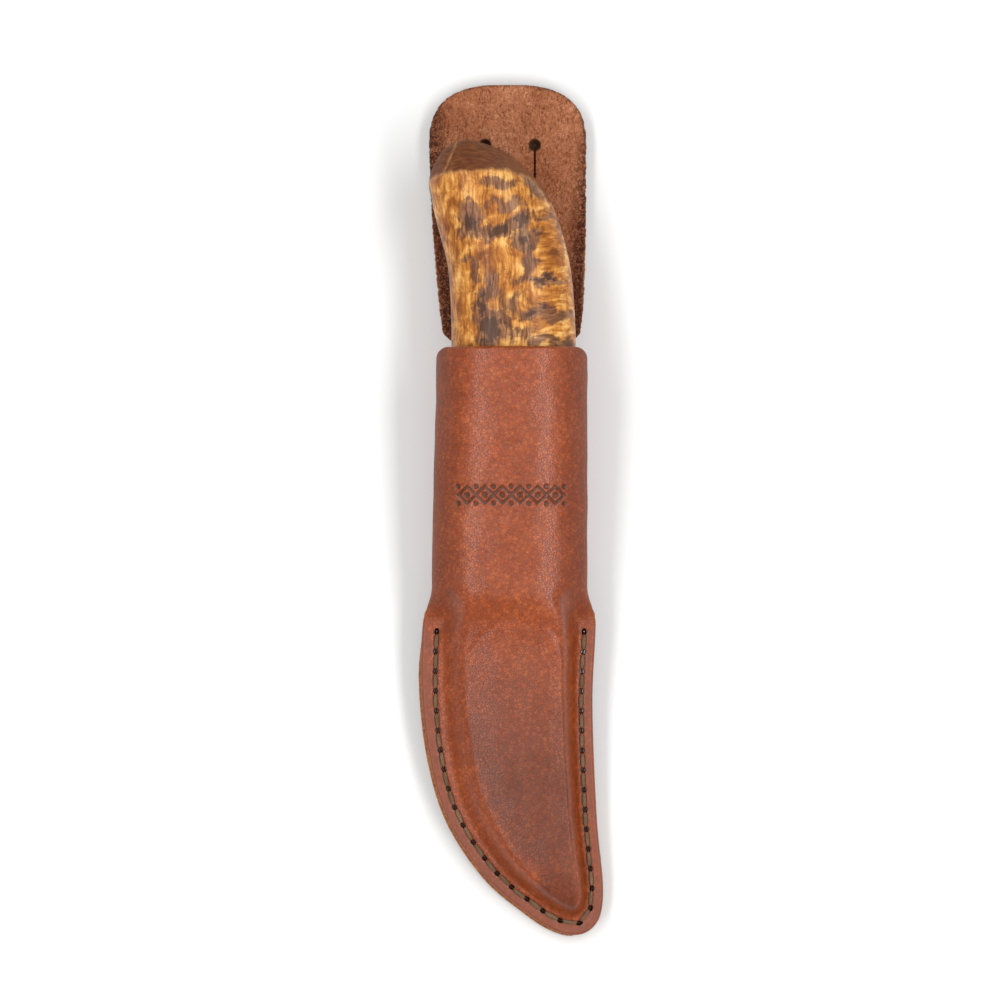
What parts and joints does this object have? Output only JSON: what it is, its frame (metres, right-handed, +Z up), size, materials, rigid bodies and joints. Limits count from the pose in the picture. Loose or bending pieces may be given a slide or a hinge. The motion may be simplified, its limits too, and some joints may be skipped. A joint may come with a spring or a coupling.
{
  "type": "whittling knife with leather sheath",
  "caption": "Short fixed-blade whittling knife with an oval burl-wood handle, carried in a wet-moulded leather belt sheath that it slides out of.",
  "frame": {"origin": "middle of the base of the bounding box, on the surface the sheath lies on", "axes": "+Y along the sheath towards the belt flap, +X towards the back of the blade, +Z up from the table towards the moulded front of the sheath"},
  "size_m": [0.0455, 0.2122, 0.0346],
  "materials": {
    "grain_leather": "smooth-grain vegetable-tanned leather, red-brown, soft sheen",
    "suede_leather": "rough flesh side of the same leather, matt, short fibres",
    "liner_plastic": "black moulded plastic insert",
    "waxed_thread": "waxed twisted thread, olive brown",
    "curly_birch": "stained and oiled curly birch, amber with dark figure, satin gloss",
    "carbon_steel": "forged carbon steel, dark scale on the flats, ground bright at the bevels",
    "epoxy": "set epoxy, amber"
  },
  "bodies": {
    "sheath": {"front_panel": "grain_leather", "back_panel": "suede_leather", "blade_liner": "liner_plastic", "seam_thread_front": "waxed_thread", "seam_thread_back": "waxed_thread", "left_wing_thread_outer": "waxed_thread", "left_wing_thread_inner": "waxed_thread", "right_wing_thread_outer": "waxed_thread", "right_wing_thread_inner": "waxed_thread"},
    "knife": {"handle": "curly_birch", "blade": "carbon_steel", "tang_epoxy": "epoxy"}
  },
  "joints": [
    {"name": "knife_draw", "type": "slide", "parent": "sheath", "child": "knife", "axis": [0, 0.9962, 0.0872], "range_m": [0, 0.15]}
  ]
}
